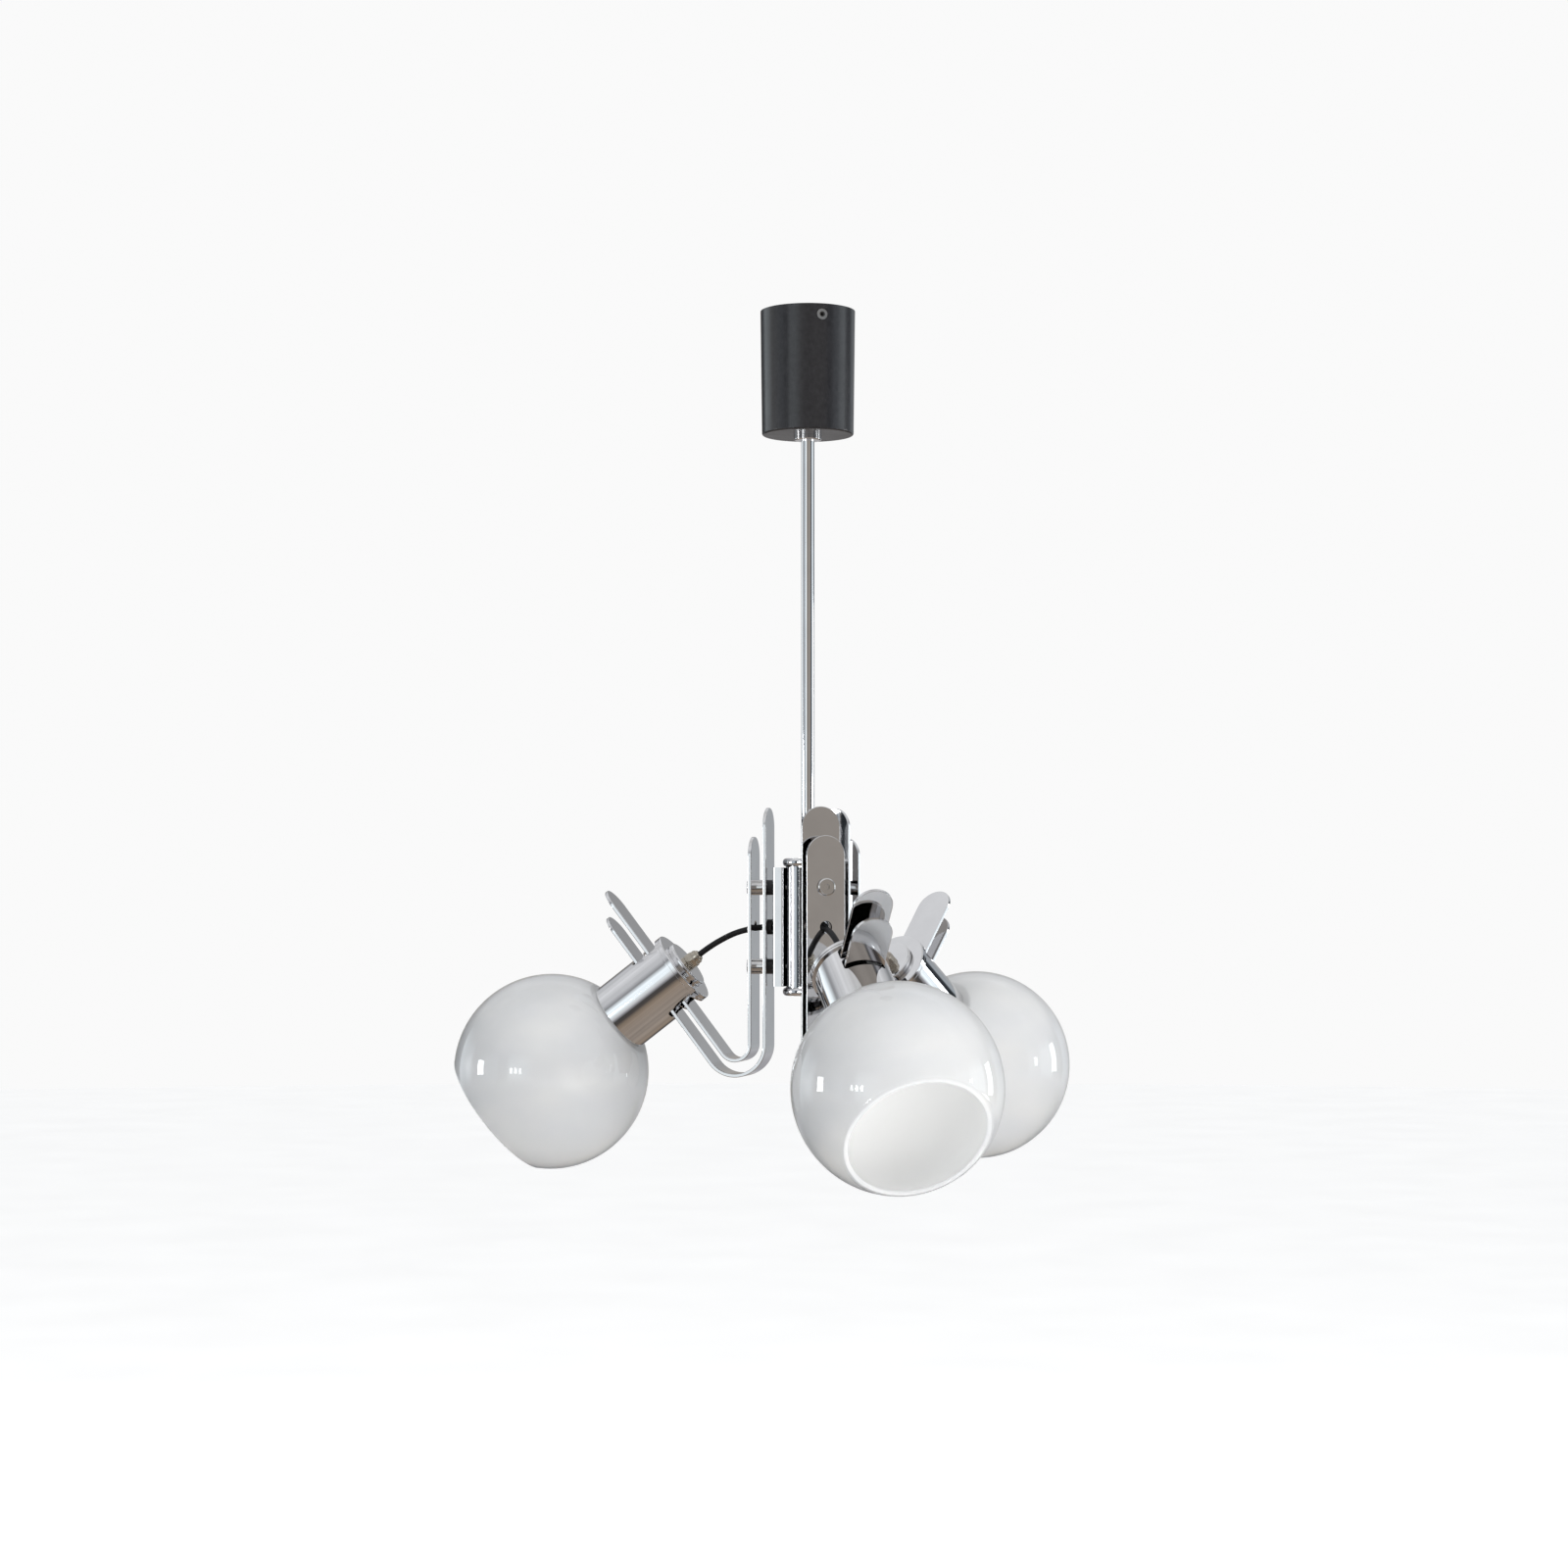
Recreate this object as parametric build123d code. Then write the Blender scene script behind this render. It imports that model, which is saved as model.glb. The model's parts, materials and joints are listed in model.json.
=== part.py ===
from build123d import *
from math import cos, pi, radians, sin, sqrt, tan
import os

# Three-arm ceiling chandelier. The origin is the centre of the ceiling bracket, in the plane of
# the ceiling, with +Z up, so the whole object lies below z = 0. Sizes are millimetres and degrees.

# ---------------------------------------------------------------- driving sizes
# Ceiling bracket, a folded strap
strap_width = 21.0
strap_thickness = 2.0
strap_bend_radius = 3.0
ceiling_hole_spacing = 50.0
ceiling_hole_diameter = 5.0
bracket_side_leg_drop = 18.0
hanger_bar_drop = 21.0
hanger_bar_half_span = 17.0

# Canopy cup
canopy_top_diameter = 72.4
canopy_bottom_diameter = 70.0
canopy_height = 95.0
canopy_wall = 1.2
canopy_edge_radius = 1.5
canopy_ceiling_gap = 0.5
canopy_screw_drop = 8.0
canopy_screw_hole = 8.5
canopy_screw_diameter = 4.0
canopy_screw_length = 8.0
canopy_screw_socket = 2.2
canopy_insert_length = 2.3
socket_depth = 4.0

# Bush that closes the canopy round the stem
bush_flange_diameter = 21.0
bush_flange_height = 4.0
bush_edge_radius = 1.0
bush_past_nut = 1.5
bush_thread_diameter = 14.0
bush_nut_diameter = 20.0
bush_nut_height = 3.5

# Stem
stem_diameter = 10.0
stem_wall = 1.0
stem_nut_width = 14.0
stem_nut_height = 6.0
stem_thread_past_nut = 2.5
stem_washer_diameter = 21.0
stem_washer_thickness = 1.6
stop_pin_diameter = 3.0
stop_pin_reach = 14.0
stop_pin_inside = 1.0
stop_pin_below_bar = 12.5
stem_window_height = 18.0
stop_tab_width = 4.0
stop_tab_drop = 14.0

# Hub
hub_top_drop = 418.6
hub_tube_diameter = 33.0
hub_tube_wall = 1.5
hub_cap_diameter = 38.2
hub_cap_height = 6.2
hub_cap_edge_radius = 2.7
hub_cap_step_diameter = 33.6
hub_cap_step_height = 0.8
hub_cap_spigot = 5.0
hub_cap_floor = 2.0
channel_height = 90.0
channel_width = 26.0
channel_depth = 8.0
channel_wall = 2.0
channel_to_strip_gap = 4.9
channel_edge_radius = 1.2

# Bent strips, two to an arm
arm_count = 3
first_arm_azimuth = -90.0
strip_width = 30.0
strip_thickness = 2.6
strip_edge_radius = 0.45
strip_pitch = 11.5
bend_inner_radius = 11.7
bend_drop_below_hub_middle = 89.4
outer_leg_rise = 52.5
outer_strip_top_above_hub = 38.6
inner_strip_top_above_hub = 16.6
cup_axis_along_leg = 73.0
outer_strip_past_cup_axis = 66.1
inner_strip_past_cup_axis = 82.8

# Fasteners at the hub
screw_half_spacing = 30.0
screw_shank_diameter = 5.0
screw_head_diameter = 13.4
screw_head_height = 3.0
screw_head_edge_radius = 1.2
screw_socket_width = 4.0
screw_socket_depth = 1.6
screw_past_tube_wall = 0.5
spacer_diameter = 11.5
cord_hole_diameter = 9.5
grommet_flange_thickness = 2.0
grommet_past_strip = 0.6

# Lamp cup
cup_diameter = 55.0
cup_wall = 1.5
cup_length = 64.5
cup_rim_from_outer_strip = 40.7
cup_slot_length = 11.0
cup_slot_ahead_of_strip = 2.6
cup_slot_corner_radius = 2.5
cup_rim_radius = 0.5
lid_overhang = 1.6
lid_thickness = 1.6
lid_skirt = 4.0
lid_groove_width = 0.8
lid_groove_depth = 0.5
lid_edge_radius = 0.9
lid_boss_diameter = 38.0
lid_boss_height = 4.2
lid_boss_edge_radius = 1.2

# Hollow threaded nipple, its spacers and the gland
nipple_diameter = 10.0
nipple_bore = 7.0
nipple_neck_step = 1.0
nipple_spacer_diameter = 14.0
gland_width = 11.4
gland_length = 11.0
gland_hex_length = 6.0
gland_nose_diameter = 8.4
gland_nose_radius = 1.4
gland_collar_diameter = 10.7
gland_nose_length = 1.8
gland_collar_chamfer = 0.6
nut_corner_ratio = 1.12
nut_chamfer = 0.8

# Lampholder, globe ring and lamp
holder_diameter = 28.0
holder_wall = 2.0
holder_base = 7.0
holder_length = 49.0
holder_entry = 5.0
holder_sleeve = 18.0
holder_edge_radius = 1.0
ring_diameter = 43.0
ring_height = 6.5
ring_edge_radius = 1.2
ring_grip_count = 12
ring_grip_radius = 1.6
ring_grip_outset = 0.7
lamp_cap_diameter = 14.0
lamp_cap_length = 20.0
lamp_diameter = 24.0
lamp_length = 57.0
lamp_seat = 8.5
lamp_contact_height = 2.0
lamp_neck_radius = 3.0

# Globe
globe_diameter = 150.0
globe_wall = 3.5
globe_shoulder_flat = 5.8
globe_shoulder_radius = 7.0
globe_mouth_diameter = 108.0
globe_lip_radius = 1.2

# Wiring
cord_diameter = 4.5
cord_port_depth = 4.5
cord_end_gap = 0.5
cord_in_nipple = 1.0
cord_straight_past_gland = 10.5
cord_sag_radius = 57.0
cord_sag_drop = 4.3
cord_level_radius = 38.0
cord_bend_share = 0.45
wire_diameter = 1.8
wire_pitch = 2.2
wire_stand_off = 5.5
wire_tail = 4.0
wire_lead = 5.0
wire_rise = 7.0
wire_bend_radii = [8.0, 10.0, 10.0, 6.0]
wire_port_depth = 3.5
wire_in_port = 3.0
junction_height = 18.0
terminal_width = 12.0
terminal_depth = 13.0
terminal_height = 20.0
terminal_shift = 2.0
terminal_edge_radius = 1.5
terminal_below_nut = 12.0
exit_below_terminal = 18.0
exit_above_junction = 12.0
terminal_screw_rise = 14.0

# Clearances
running_clear = 0.1
hole_clear = 0.3
fit_clear = 0.05
axial_clear = 0.1

# How far a cutting shape passes the face it leaves by
overrun = 1.0

# ---------------------------------------------------------------- places worked out from the sizes
hub_top = -hub_top_drop
channel_top = hub_top - hub_cap_height - hub_cap_step_height
channel_bottom = channel_top - channel_height
hub_middle = (channel_top + channel_bottom) / 2
hub_bottom = channel_bottom - hub_cap_height - hub_cap_step_height

tube_radius = hub_tube_diameter / 2
channel_face = tube_radius + channel_depth
outer_leg_radius = channel_face + channel_to_strip_gap + strip_thickness / 2
inner_leg_radius = outer_leg_radius + strip_pitch
bend_centre_radius = inner_leg_radius + bend_inner_radius
bend_centre_height = hub_middle - bend_drop_below_hub_middle

# Radial and vertical parts of a step along the outer leg, and along the cup axis towards the globe
leg_r, leg_z = cos(radians(outer_leg_rise)), sin(radians(outer_leg_rise))
axis_r, axis_z = leg_z, -leg_r

outer_bend_radius = bend_inner_radius + strip_pitch
bend_end_r = bend_centre_radius + outer_bend_radius * axis_r
bend_end_z = bend_centre_height + outer_bend_radius * axis_z
rim_r = bend_end_r + cup_axis_along_leg * leg_r + cup_rim_from_outer_strip * axis_r
rim_z = bend_end_z + cup_axis_along_leg * leg_z + cup_rim_from_outer_strip * axis_z

# Stations on the cup axis, measured from the rim plane, positive towards the globe
outer_strip_front = strip_thickness / 2 - cup_rim_from_outer_strip
outer_strip_back = outer_strip_front - strip_thickness
inner_strip_front = outer_strip_front - strip_pitch
inner_strip_back = inner_strip_front - strip_thickness
cup_back = -cup_length
lid_back = cup_back - lid_thickness
boss_back = lid_back - lid_boss_height
gland_end = boss_back - gland_length
nipple_front = outer_strip_front + holder_entry
nipple_back = boss_back - gland_hex_length
holder_front = outer_strip_front + holder_length

cup_radius = cup_diameter / 2
globe_radius = globe_diameter / 2
shoulder_radius = cup_radius + globe_shoulder_flat
globe_seat = sqrt(globe_radius**2 - shoulder_radius**2)
mouth_plane = sqrt(globe_radius**2 - (globe_mouth_diameter / 2) ** 2)
neck_hole_radius = holder_diameter / 2 + 2.5 * hole_clear

stem_radius = stem_diameter / 2
bar_top = -hanger_bar_drop
bar_bottom = bar_top - strap_thickness
washer_top = bar_top + stem_washer_thickness
stem_nut_bottom = washer_top + axial_clear
stem_top = stem_nut_bottom + stem_nut_height + stem_thread_past_nut
lock_nut_top = bar_bottom - hole_clear

canopy_rim = -canopy_ceiling_gap
canopy_floor = canopy_rim - canopy_height
canopy_screw_z = canopy_rim - canopy_screw_drop
canopy_taper = (canopy_top_diameter - canopy_bottom_diameter) / 2 / canopy_height
canopy_screw_face = canopy_top_diameter / 2 - canopy_taper * canopy_screw_drop
bracket_leg_face = canopy_top_diameter / 2 - canopy_wall - canopy_insert_length - hole_clear

cup_frame = Plane(origin=(rim_r, 0, rim_z), x_dir=(0, 1, 0), z_dir=(axis_r, 0, axis_z))
arm_azimuths = [first_arm_azimuth + 360.0 / arm_count * number for number in range(arm_count)]
screw_heights = [hub_middle - screw_half_spacing, hub_middle + screw_half_spacing]


# ---------------------------------------------------------------- shape helpers
def rod(radius, low, high):
    """Cylinder on the Z axis between two heights."""
    return Pos(0, 0, (low + high) / 2) * Cylinder(radius, high - low)


def tube(outer, inner, low, high):
    """Plain tube on the Z axis between two heights."""
    return rod(outer, low, high) - rod(inner, low - overrun, high + overrun)


def hexagon_nut(width, bore_radius, low, high):
    """Hexagonal nut, its width measured across the flats."""
    blank = extrude(RegularPolygon(width / 2, 6, major_radius=False), high - low)
    corners = rod(width / 2 * nut_corner_ratio, 0, high - low)
    corners = chamfer(corners.edges(), min(nut_chamfer, (high - low) / 4))
    return Pos(0, 0, low) * ((blank & corners) - rod(bore_radius, -overrun, high - low + overrun))


def radial(radius, near, far, height):
    """Cylinder along the arm's radial direction, from one distance to another."""
    return Pos((near + far) / 2, 0, height) * Rot(0, 90, 0) * Cylinder(radius, far - near)


def bent_strap(points, radius, width, thickness):
    """Flat strap of rectangular section that follows a bent line in the XZ plane."""
    line = FilletPolyline(*[(x, 0, z) for x, z in points], radius=radius)
    section = Plane(origin=line @ 0, x_dir=(0, 1, 0), z_dir=line % 0) * Rectangle(width, thickness)
    return sweep(section, path=line)


def on_arm(shape, azimuth):
    return Rot(0, 0, azimuth) * shape


def for_each_arm(shape):
    """The same piece or pieces repeated round the hub."""
    return [solid for azimuth in arm_azimuths for solid in on_arm(shape, azimuth).solids()]


nodes = {}


def keep(name, shape):
    """Stores one node: a single solid, or a group of identical separate solids."""
    solids = shape if isinstance(shape, list) else shape.solids()
    nodes[name] = solids[0] if len(solids) == 1 else Compound(children=list(solids))


# ---------------------------------------------------------------- ceiling bracket and suspension
def ceiling_bracket():
    leg = bracket_leg_face - strap_thickness / 2
    foot = -strap_thickness / 2
    bar = bar_top - strap_thickness / 2
    half = [(leg, -bracket_side_leg_drop), (leg, foot), (hanger_bar_half_span, foot),
            (hanger_bar_half_span, bar)]
    outline = half + [(-x, z) for x, z in reversed(half)]
    body = bent_strap(outline, strap_bend_radius, strap_width, strap_thickness)
    for side in (-1, 1):
        hole = Cylinder(ceiling_hole_diameter / 2, 4 * strap_thickness)
        body -= Pos(side * ceiling_hole_spacing / 2, 0, 0) * hole
        slot_width = canopy_screw_diameter + 4 * hole_clear
        slot = SlotCenterToCenter(2 * bracket_side_leg_drop, slot_width)
        slot = Rot(0, 90, 0) * extrude(slot, strap_bend_radius, both=True)
        body -= Pos(side * leg, 0, canopy_screw_z - bracket_side_leg_drop) * slot
    body -= rod(stem_radius + running_clear, bar_bottom - overrun, bar_top + overrun)
    tab = Box(stop_tab_width, strap_thickness, stop_tab_drop + strap_thickness)
    tab_y = strap_width / 2 - strap_thickness / 2
    body += Pos(0, tab_y, bar_top - (stop_tab_drop + strap_thickness) / 2) * tab
    return Rot(0, 0, 90) * body


keep("ceiling_bracket", ceiling_bracket())
keep("stem_washer", tube(stem_washer_diameter / 2, stem_radius + running_clear, bar_top, washer_top))
nut_bore = stem_radius + fit_clear
hanging_nut = hexagon_nut(stem_nut_width, nut_bore, stem_nut_bottom, stem_nut_bottom + stem_nut_height)
lock_nut = hexagon_nut(stem_nut_width, nut_bore, lock_nut_top - stem_nut_height, lock_nut_top)
keep("stem_nuts", hanging_nut.solids() + lock_nut.solids())


# ---------------------------------------------------------------- canopy
def canopy():
    top, bottom = canopy_top_diameter / 2, canopy_bottom_diameter / 2
    outside = Pos(0, 0, canopy_rim - canopy_height / 2) * Cone(bottom, top, canopy_height)
    outside = fillet(outside.edges().group_by(Axis.Z)[0], canopy_edge_radius)
    inner_height = canopy_height - canopy_wall
    inside = Cone(bottom - canopy_wall, top - canopy_wall, inner_height)
    shell = outside - Pos(0, 0, canopy_rim - inner_height / 2) * inside
    bush_hole = bush_thread_diameter / 2 + fit_clear
    shell -= rod(bush_hole, canopy_floor - overrun, canopy_floor + 2 * canopy_wall)
    cutter = radial(canopy_screw_hole / 2, -canopy_top_diameter, canopy_top_diameter, canopy_screw_z)
    return shell - Rot(0, 0, 90) * cutter


def canopy_screw():
    tip = canopy_screw_face - canopy_wall - canopy_screw_length
    body = radial(canopy_screw_diameter / 2, tip, tip + canopy_screw_length, canopy_screw_z)
    socket = extrude(RegularPolygon(canopy_screw_socket / 2, 6), socket_depth, both=True)
    return body - Pos(tip + canopy_screw_length, 0, canopy_screw_z) * Rot(0, 90, 0) * socket


def canopy_insert():
    outer = canopy_screw_face - canopy_wall / 2
    near = outer - canopy_insert_length
    body = radial(canopy_screw_hole / 2 - fit_clear, near, outer, canopy_screw_z)
    return body - radial(canopy_screw_diameter / 2 + fit_clear, near - overrun, outer + overrun,
                         canopy_screw_z)


keep("canopy", canopy())
keep("canopy_screws", [s for turn in (90, 270) for s in (Rot(0, 0, turn) * canopy_screw()).solids()])
keep("canopy_inserts", [s for turn in (90, 270) for s in (Rot(0, 0, turn) * canopy_insert()).solids()])

bush_top = canopy_floor + canopy_wall + bush_nut_height + bush_past_nut
bush = rod(bush_thread_diameter / 2, canopy_floor, bush_top)
bush_flange = rod(bush_flange_diameter / 2, canopy_floor - bush_flange_height, canopy_floor)
bush += fillet(bush_flange.edges().group_by(Axis.Z)[0], bush_edge_radius)
bush_bore = rod(stem_radius + running_clear, canopy_floor - 2 * bush_flange_height, bush_top + overrun)
keep("canopy_bush", bush - bush_bore)
bush_nut_low = canopy_floor + canopy_wall
keep("canopy_bush_nut", hexagon_nut(bush_nut_diameter, bush_thread_diameter / 2 + fit_clear,
                                    bush_nut_low, bush_nut_low + bush_nut_height))

# ---------------------------------------------------------------- stem with its wire openings
terminal_bottom = lock_nut_top - stem_nut_height - terminal_below_nut - terminal_height
upper_exit = terminal_bottom - exit_below_terminal
lower_exit = hub_middle + junction_height / 2 + exit_above_junction
wire_out = stem_radius + wire_stand_off
pin_height = bar_bottom - stop_pin_below_bar


def stem():
    body = tube(stem_radius, stem_radius - stem_wall, hub_bottom + hub_cap_floor, stem_top)
    window = Box(stem_diameter, 3 * wire_pitch, stem_window_height)
    body -= Pos(stem_radius, 0, upper_exit) * window
    body -= Pos(stem_radius, 0, lower_exit) * window
    return body - radial(stop_pin_diameter / 2 + fit_clear, 0, stem_diameter, pin_height)


keep("stem_rod", stem())
pin = radial(stop_pin_diameter / 2, stem_radius - stem_wall - stop_pin_inside, stop_pin_reach, pin_height)
keep("stem_stop_pin", pin)

terminal = Box(terminal_depth, terminal_width, terminal_height)
terminal = fillet(terminal.edges().filter_by(Axis.Z), terminal_edge_radius)
terminal = Pos(wire_out + terminal_shift, 0, terminal_bottom + terminal_height / 2) * terminal
for place in (-1, 0, 1):
    side = place * wire_pitch
    terminal -= Pos(wire_out, side, terminal_bottom) * Cylinder(
        wire_diameter / 2 + fit_clear, 2 * (wire_tail + overrun))
    driver_hole = Rot(0, 90, 0) * Cylinder(wire_diameter / 2, terminal_depth)
    terminal -= Pos(wire_out + terminal_depth, side, terminal_bottom + terminal_screw_rise) * driver_hole
keep("terminal_block", terminal)


def supply_wire(place):
    """One conductor from the terminal block down the stem to the junction in the hub."""
    side = place * wire_pitch
    points = [(wire_out, side, terminal_bottom + wire_tail), (wire_out, side, terminal_bottom - wire_lead),
              (0, side, upper_exit - wire_rise), (0, side, lower_exit + wire_rise),
              (wire_out, side, lower_exit - wire_lead),
              (wire_out, side, hub_middle + junction_height / 2 - wire_in_port)]
    line = FilletPolyline(*points, radius=wire_bend_radii)
    return sweep(Plane(origin=line @ 0, z_dir=line % 0) * Circle(wire_diameter / 2), path=line)


keep("supply_wires", [solid for place in (-1, 0, 1) for solid in supply_wire(place).solids()])


# ---------------------------------------------------------------- hub
def hub_cap():
    """Turned end cap, drawn with its outer face at z = 0 and its spigot upwards."""
    plate = rod(hub_cap_diameter / 2, 0, hub_cap_height)
    plate = fillet(plate.edges().filter_by(GeomType.CIRCLE), hub_cap_edge_radius)
    step_top = hub_cap_height + hub_cap_step_height
    body = plate + rod(hub_cap_step_diameter / 2, 0, step_top)
    return body + rod(tube_radius - hub_tube_wall - fit_clear, 0, step_top + hub_cap_spigot)


bottom_cap = Pos(0, 0, hub_bottom) * hub_cap()
keep("hub_bottom_cap", bottom_cap - rod(stem_radius + fit_clear, hub_bottom + hub_cap_floor, hub_middle))
top_cap = Pos(0, 0, hub_top) * Rot(180, 0, 0) * hub_cap()
keep("hub_top_cap", top_cap - rod(stem_radius + fit_clear, hub_middle, hub_top + overrun))

hub_tube = tube(tube_radius, tube_radius - hub_tube_wall, channel_bottom, channel_top)
channel = Pos(tube_radius + channel_depth / 2, 0, hub_middle) * Box(
    channel_depth, channel_width, channel_height)
channel = fillet(channel.edges().filter_by(Axis.Z), channel_edge_radius)
groove = Box(channel_depth, channel_width - 2 * channel_wall, channel_height + 2 * overrun)
channel -= Pos(tube_radius + channel_wall + channel_depth / 2, 0, hub_middle) * groove
cord_way = radial(cord_diameter / 2 + hole_clear, 0, channel_face, hub_middle)
screw_hole = screw_shank_diameter / 2 + fit_clear
hub_holes = [radial(screw_hole, 0, channel_face, height) for height in screw_heights] + [cord_way]
for hole in hub_holes:
    channel -= hole
    for azimuth in arm_azimuths:
        hub_tube -= on_arm(hole, azimuth)
keep("hub_tube", hub_tube)

junction = tube(tube_radius - hub_tube_wall - hole_clear, stem_radius + hole_clear,
                hub_middle - junction_height / 2, hub_middle + junction_height / 2)
junction_face = tube_radius - hub_tube_wall - hole_clear
cord_end = junction_face - cord_port_depth
cord_port = radial(cord_diameter / 2 + fit_clear, cord_end - cord_end_gap, tube_radius, hub_middle)
for azimuth in arm_azimuths:
    junction -= on_arm(cord_port, azimuth)
for place in (-1, 0, 1):
    junction -= Pos(wire_out, place * wire_pitch, hub_middle + junction_height / 2) * Cylinder(
        wire_diameter / 2 + fit_clear, 2 * wire_port_depth)
keep("junction_block", junction)


# ---------------------------------------------------------------- strips
def strip_end():
    """Full-round end of a strip: half a turned disc with the strip's own edge section."""
    section = RectangleRounded(strip_width, strip_thickness, strip_edge_radius)
    section &= Pos(strip_width / 4, 0) * Rectangle(strip_width / 2, 2 * strip_thickness)
    return revolve(Plane.XZ * section, Axis.Z)


def bent_strip(bend_radius, leg_radius, top, past_axis):
    """Strip that drops beside the hub, turns under and rises outwards past the cup axis."""
    end_inset = strip_width / 2
    start = Vector(leg_radius, 0, top - end_inset)
    bend_start = Vector(leg_radius, 0, bend_centre_height)
    lowest = Vector(bend_centre_radius, 0, bend_centre_height - bend_radius)
    bend_end = Vector(bend_centre_radius + bend_radius * axis_r, 0,
                      bend_centre_height + bend_radius * axis_z)
    run = cup_axis_along_leg + past_axis - end_inset
    finish = bend_end + Vector(leg_r, 0, leg_z) * run
    path = Wire([Edge.make_line(start, bend_start),
                 Edge.make_three_point_arc(bend_start, lowest, bend_end),
                 Edge.make_line(bend_end, finish)])
    section = RectangleRounded(strip_width, strip_thickness, strip_edge_radius)
    body = sweep(Plane(origin=start, x_dir=(0, 1, 0), z_dir=(0, 0, -1)) * section, path=path)
    body += Plane(origin=start, x_dir=(0, 1, 0), z_dir=(1, 0, 0)) * strip_end()
    body += Plane(origin=finish, x_dir=(0, 1, 0), z_dir=(axis_r, 0, axis_z)) * strip_end()
    near, far = leg_radius - strip_thickness, leg_radius + strip_thickness
    for height in screw_heights:
        body -= radial(screw_shank_diameter / 2 + hole_clear, near, far, height)
    body -= radial(cord_hole_diameter / 2, near, far, hub_middle)
    nipple_hole = rod(nipple_diameter / 2 + hole_clear, cup_back, 0)
    return body - cup_frame * nipple_hole


outer_strip = bent_strip(outer_bend_radius, outer_leg_radius, hub_top + outer_strip_top_above_hub,
                         outer_strip_past_cup_axis)
inner_strip = bent_strip(bend_inner_radius, inner_leg_radius, hub_top + inner_strip_top_above_hub,
                         inner_strip_past_cup_axis)


# ---------------------------------------------------------------- fasteners that hold the strips to the hub
screw_seat = inner_leg_radius + strip_thickness / 2
web_face = tube_radius + channel_wall
strip_back = outer_leg_radius - strip_thickness / 2


def hub_screw(height):
    head = radial(screw_head_diameter / 2, screw_seat, screw_seat + screw_head_height, height)
    head = fillet(head.edges().group_by(Axis.X)[-1], screw_head_edge_radius)
    socket = extrude(RegularPolygon(screw_socket_width / 2, 6, major_radius=False), screw_socket_depth)
    socket_floor = screw_seat + screw_head_height - screw_socket_depth
    head -= Pos(socket_floor, 0, height) * Rot(0, 90, 0) * socket
    shank_end = tube_radius - hub_tube_wall - screw_past_tube_wall
    return head + radial(screw_shank_diameter / 2, shank_end, screw_seat, height)


def hub_spacer(near, far, height):
    bore = radial(screw_shank_diameter / 2 + hole_clear, near - overrun, far + overrun, height)
    return radial(spacer_diameter / 2, near, far, height) - bore


strip_gap_near = outer_leg_radius + strip_thickness / 2
strip_gap_far = inner_leg_radius - strip_thickness / 2
screws, outer_spacers, inner_spacers = [], [], []
for height in screw_heights:
    screws += for_each_arm(hub_screw(height))
    outer_spacers += for_each_arm(hub_spacer(strip_gap_near, strip_gap_far, height))
    inner_spacers += for_each_arm(hub_spacer(web_face, strip_back, height))
keep("hub_screws", screws)
keep("strip_spacers", outer_spacers)
keep("channel_spacers", inner_spacers)

grommet_low = strip_back - grommet_flange_thickness
grommet_flange = radial(spacer_diameter / 2, grommet_low, strip_back, hub_middle)
grommet = grommet_flange + radial(cord_hole_diameter / 2 - fit_clear, grommet_low,
                                  strip_gap_near + grommet_past_strip, hub_middle)
grommet -= radial(cord_diameter / 2 + 2 * hole_clear, 0, inner_leg_radius, hub_middle)
keep("cord_grommets", for_each_arm(grommet))


# ---------------------------------------------------------------- lamp cup, its lid and gland
def lamp_cup():
    body = tube(cup_radius, cup_radius - cup_wall, cup_back, 0)
    body = fillet(body.edges().group_by(Axis.Z)[-1], cup_rim_radius)
    for front in (outer_strip_front, inner_strip_front):
        slot_front = front + cup_slot_ahead_of_strip
        slot = Box(strip_width + 4 * hole_clear, 2 * cup_diameter, cup_slot_length)
        slot = fillet(slot.edges().filter_by(Axis.Y), cup_slot_corner_radius)
        body -= Pos(0, 0, slot_front - cup_slot_length / 2) * slot
    return body


def cup_lid():
    lid_radius = cup_radius + lid_overhang
    disc = rod(lid_radius, lid_back, cup_back + lid_skirt)
    disc = fillet(disc.edges().group_by(Axis.Z)[0], lid_edge_radius)
    disc -= rod(cup_radius + fit_clear, cup_back, cup_back + lid_skirt + overrun)
    groove_low = cup_back + (lid_skirt - lid_groove_width) / 2
    disc -= tube(lid_radius + overrun, lid_radius - lid_groove_depth, groove_low,
                 groove_low + lid_groove_width)
    boss = rod(lid_boss_diameter / 2, boss_back, lid_back - lid_groove_width)
    boss = fillet(boss.edges().group_by(Axis.Z)[0], lid_boss_edge_radius)
    neck = rod(lid_boss_diameter / 2 - 2 * lid_groove_depth, boss_back + lid_boss_edge_radius, lid_back)
    nipple_way = rod(nipple_diameter / 2 + hole_clear, boss_back - overrun, cup_back + overrun)
    return disc + boss + neck - nipple_way


def gland():
    hex_end = boss_back - gland_hex_length
    hexagon = hexagon_nut(gland_width, cord_diameter / 2, hex_end, boss_back)
    nose = rod(gland_nose_diameter / 2, gland_end, hex_end)
    nose = fillet(nose.edges().group_by(Axis.Z)[0], gland_nose_radius)
    collar = rod(gland_collar_diameter / 2, gland_end + gland_nose_length, hex_end)
    collar = chamfer(collar.edges().group_by(Axis.Z)[0], gland_collar_chamfer)
    body = hexagon + nose + collar
    body -= rod(nipple_diameter / 2 + fit_clear - nipple_neck_step, nipple_back, boss_back + overrun)
    return body - rod(cord_diameter / 2 + fit_clear, gland_end - overrun, boss_back + overrun)


def nipple():
    """Threaded tube that runs from inside the gland to inside the lampholder's base."""
    neck = tube(nipple_diameter / 2 - nipple_neck_step, nipple_bore / 2, nipple_back, boss_back)
    return neck + tube(nipple_diameter / 2, nipple_bore / 2, boss_back, nipple_front)


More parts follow.
